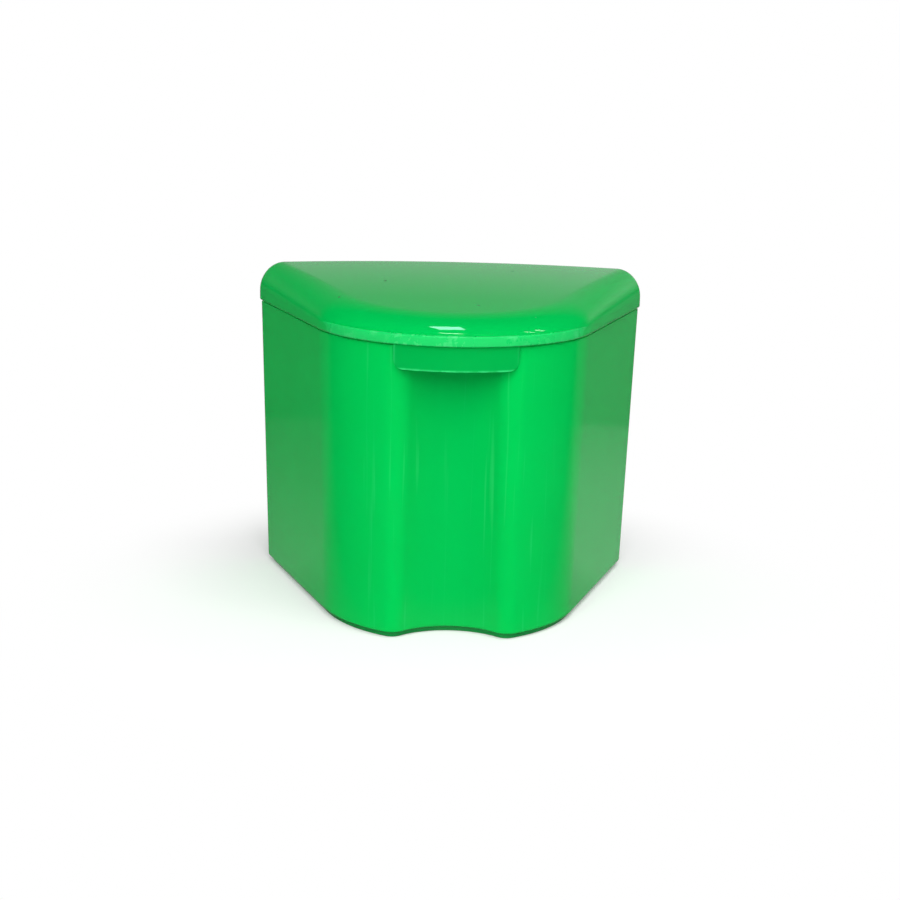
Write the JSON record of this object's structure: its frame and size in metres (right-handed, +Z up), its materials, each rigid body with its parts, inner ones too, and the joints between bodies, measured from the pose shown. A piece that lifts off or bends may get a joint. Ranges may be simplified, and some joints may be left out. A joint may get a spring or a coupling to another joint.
{
  "type": "denture case",
  "caption": "Deep D-shaped denture case with a hinged domed lid, thumb tab, finger groove down the nose and a lift-out slotted rinse basket.",
  "frame": {"origin": "centre of the case's bounding box on the plane that the foot ring stands on", "axes": "+Z up, the nose with the thumb tab faces -Y, the flat back with the hinge faces +Y, +X to the right seen from the front"},
  "size_m": [0.0908, 0.0716, 0.0748],
  "materials": {
    "green_plastic": "gloss",
    "white_plastic": "satin",
    "pin_steel": "drawn"
  },
  "bodies": {
    "cup": {"cup": "green_plastic", "hinge_pin": "pin_steel", "basket": "white_plastic"},
    "lid": {"lid": "green_plastic"}
  },
  "joints": [
    {"name": "lid_hinge", "type": "hinge", "parent": "cup", "child": "lid", "pos_m": [0, 0.03335, 0.0645], "axis": [-1, 0, 0], "range_deg": [0, 110]}
  ]
}
